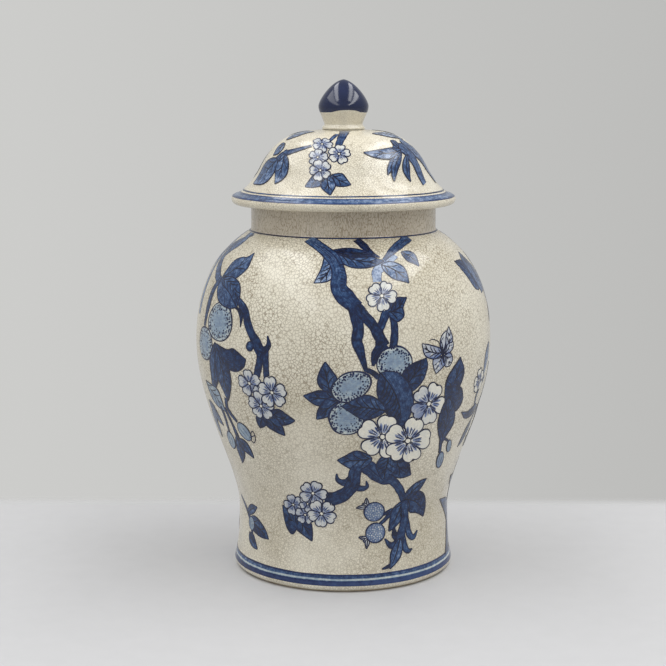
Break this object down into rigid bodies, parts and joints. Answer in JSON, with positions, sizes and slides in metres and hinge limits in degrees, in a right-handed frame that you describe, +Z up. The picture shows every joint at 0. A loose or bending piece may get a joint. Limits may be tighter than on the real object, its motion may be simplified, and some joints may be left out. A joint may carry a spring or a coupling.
{
  "type": "ginger jar",
  "caption": "Tall ceramic ginger jar with a high round belly, straight neck, narrow foot and a loose bell-shaped lid with a bud knob, painted with flowering branches.",
  "frame": {"origin": "centre of the circle that the foot ring stands on, at the jar's lowest point", "axes": "+Z up along the jar's axis of revolution; -Y is the front face of the painting, +X to its right"},
  "size_m": [0.2146, 0.2146, 0.355],
  "materials": {
    "crackle_glaze": "glossy cream glaze with fine brown crackle",
    "neck_glaze": "glossy grey-beige glaze with streaked crackle",
    "cobalt_glaze": "high gloss dark cobalt over cream",
    "cobalt_line": "dark cobalt brush line under glaze",
    "cobalt_wash": "brushed cobalt wash under glaze",
    "pale_wash": "thin pale blue wash under glaze",
    "white_slip": "white slip petals under glaze",
    "bare_biscuit": "unglazed, slightly gritty"
  },
  "bodies": {
    "jar": {"foot_ring": "bare_biscuit", "jar_body": "crackle_glaze", "neck_ring": "neck_glaze"},
    "lid": {"lid_dome": "crackle_glaze", "lid_flange": "bare_biscuit", "knob": "cobalt_glaze"}
  },
  "joints": [
    {"name": "lid_lift", "type": "slide", "parent": "jar", "child": "lid", "axis": [0, 0, 1], "range_m": [0, 0.12]}
  ]
}
